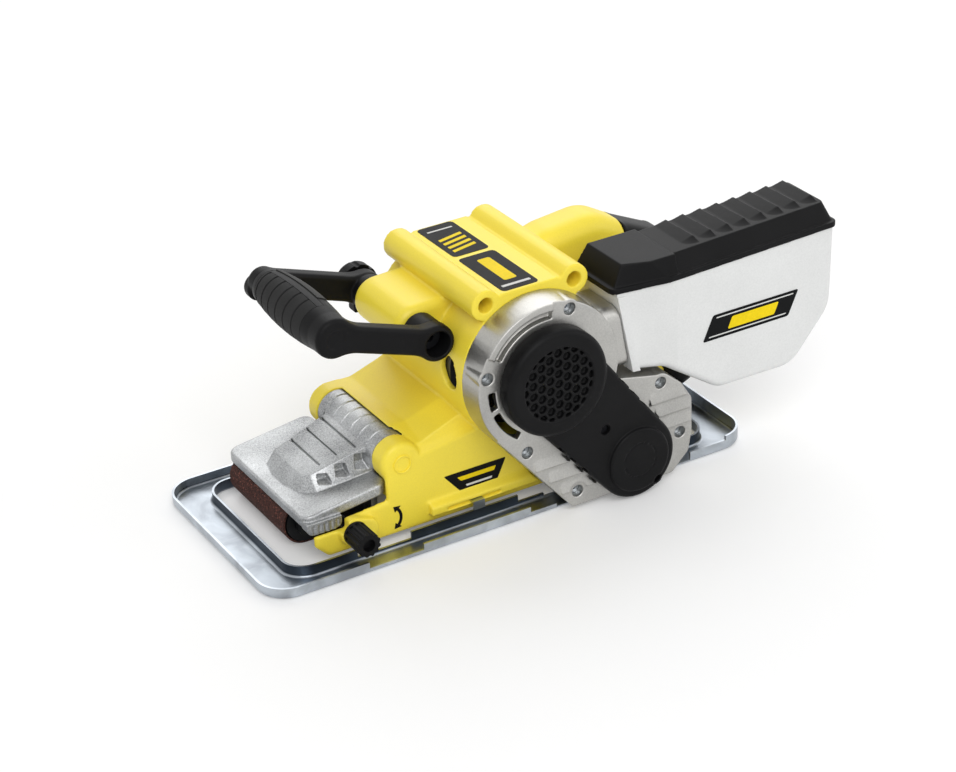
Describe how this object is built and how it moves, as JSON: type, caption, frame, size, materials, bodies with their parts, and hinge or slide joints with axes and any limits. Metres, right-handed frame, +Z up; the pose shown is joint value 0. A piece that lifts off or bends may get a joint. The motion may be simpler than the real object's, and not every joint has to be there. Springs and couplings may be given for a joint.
{
  "type": "belt sander",
  "caption": "Hand held belt sander with a motor lying across the belt, a toothed belt drive under a side cover, tilting front handle, clip-on steel sanding frame and removable dust box.",
  "frame": {"origin": "on the sanding plane, at the middle of the belt's width, between the two rollers", "axes": "+X to the rear of the tool, -Y to the drive side, +Z up"},
  "size_m": [0.4103, 0.1784, 0.1662],
  "materials": {
    "yellow_shell": "satin moulded",
    "cast_aluminium": "die cast",
    "black_plastic": "fine grain",
    "soft_grip": "matt",
    "zinc_steel": "zinc plated",
    "black_steel": "black oxide",
    "bright_steel": "turned",
    "lamination": "varnished sheet",
    "copper": "turned",
    "carbon": "pressed",
    "graphite_canvas": "coated",
    "abrasive_cloth": "coated grit",
    "box_plastic": "translucent"
  },
  "bodies": {
    "base": {"motor_housing": "yellow_shell", "base_housing": "yellow_shell", "gear_housing": "cast_aluminium", "gear_screws": "zinc_steel", "drive_cover": "black_plastic", "cover_screws": "black_steel", "sanding_frame": "zinc_steel", "chassis": "cast_aluminium", "platen": "zinc_steel", "platen_pad": "graphite_canvas", "abrasive_belt": "abrasive_cloth", "tension_spring": "bright_steel", "lever_pin": "bright_steel", "drum_bearings": "bright_steel", "stator": "lamination", "brush_holders": "black_plastic", "carbon_brushes": "carbon", "motor_bearings": "bright_steel", "drive_belt": "soft_grip", "hinge_pin": "bright_steel", "handle_bolt": "black_steel", "rear_grip": "black_plastic", "switch_block": "black_plastic", "cord_gland": "soft_grip"},
    "carriage": {"tension_carriage": "bright_steel", "spring_washer": "bright_steel"},
    "yoke": {"yoke": "black_steel", "yoke_pin": "bright_steel", "front_axle": "black_steel"},
    "roller": {"front_roller": "black_steel"},
    "lever": {"tension_lever": "zinc_steel"},
    "steering_knob": {"tracking_knob": "black_plastic"},
    "drum": {"drum_core": "cast_aluminium", "drum_tyre": "soft_grip", "drum_shaft": "bright_steel", "driven_pulley": "bright_steel"},
    "rotor": {"armature": "lamination", "commutator": "copper", "cooling_fan": "black_plastic", "drive_pulley": "bright_steel"},
    "cover": {"front_cover": "cast_aluminium"},
    "bail": {"front_handle": "black_plastic", "front_grip": "soft_grip"},
    "clamp": {"clamp_knob": "black_plastic"},
    "box": {"dust_box": "box_plastic"},
    "lid": {"dust_lid": "black_plastic"},
    "trigger": {"trigger": "black_plastic"},
    "lock": {"lock_button": "black_plastic"},
    "dial": {"speed_dial": "black_plastic"}
  },
  "joints": [
    {"name": "rotor_spin", "type": "hinge", "parent": "base", "child": "rotor", "pos_m": [0.0391, 0, 0.1002], "axis": [0, 1, 0], "continuous": true},
    {"name": "drum_spin", "type": "hinge", "parent": "base", "child": "drum", "pos_m": [0.0965, 0, 0.0285], "axis": [0, 1, 0], "continuous": true},
    {"name": "carriage_slide", "type": "slide", "parent": "base", "child": "carriage", "axis": [1, 0, 0], "range_m": [0, 0.008], "stiffness_N_per_m": 1500, "springref_m": -0.004, "deforming": ["tension_spring"]},
    {"name": "lever_swing", "type": "hinge", "parent": "base", "child": "lever", "pos_m": [-0.046, 0.027, 0.026], "axis": [0, 0, 1], "range_deg": [0, 80]},
    {"name": "yoke_tilt", "type": "hinge", "parent": "carriage", "child": "yoke", "pos_m": [-0.075, 0, 0.01505], "axis": [0, 0, 1], "range_deg": [-0.8, 0.8]},
    {"name": "knob_turn", "type": "hinge", "parent": "base", "child": "steering_knob", "pos_m": [-0.0875, -0.08, 0.02], "axis": [0, 1, 0], "range_deg": [-180, 180]},
    {"name": "roller_spin", "type": "hinge", "parent": "yoke", "child": "roller", "pos_m": [-0.103, 0, 0.01505], "axis": [0, 1, 0], "continuous": true},
    {"name": "cover_lift", "type": "hinge", "parent": "base", "child": "cover", "pos_m": [-0.049, 0, 0.053], "axis": [0, 1, 0], "range_deg": [0, 70]},
    {"name": "handle_tilt", "type": "hinge", "parent": "base", "child": "bail", "pos_m": [-0.02, 0, 0.1275], "axis": [0, 1, 0], "range_deg": [-55, 60]},
    {"name": "clamp_turn", "type": "hinge", "parent": "base", "child": "clamp", "pos_m": [-0.02, 0.036, 0.1275], "axis": [0, 1, 0], "range_deg": [-180, 180]},
    {"name": "box_pull", "type": "slide", "parent": "base", "child": "box", "axis": [1, 0, 0], "range_m": [0, 0.03]},
    {"name": "lid_lift", "type": "slide", "parent": "box", "child": "lid", "axis": [0, 0, 1], "range_m": [0, 0.03]},
    {"name": "trigger_press", "type": "slide", "parent": "base", "child": "trigger", "axis": [0.7071, 0, 0.7071], "range_m": [0, 0.006], "stiffness_N_per_m": 600, "springref_m": -0.002},
    {"name": "lock_press", "type": "slide", "parent": "base", "child": "lock", "axis": [0, -1, 0], "range_m": [0, 0.003], "stiffness_N_per_m": 400, "springref_m": -0.001},
    {"name": "dial_turn", "type": "hinge", "parent": "base", "child": "dial", "pos_m": [0.112, 0.005, 0.139], "axis": [0, 1, 0], "range_deg": [0, 270]}
  ],
  "couplings": [
    {"joint": "drum_spin", "follows": "rotor_spin", "ratio": 0.34483},
    {"joint": "roller_spin", "follows": "rotor_spin", "ratio": 0.66563},
    {"joint": "lever_swing", "follows": "carriage_slide", "rad_per_m": 174},
    {"joint": "knob_turn", "follows": "yoke_tilt", "ratio": 224}
  ]
}
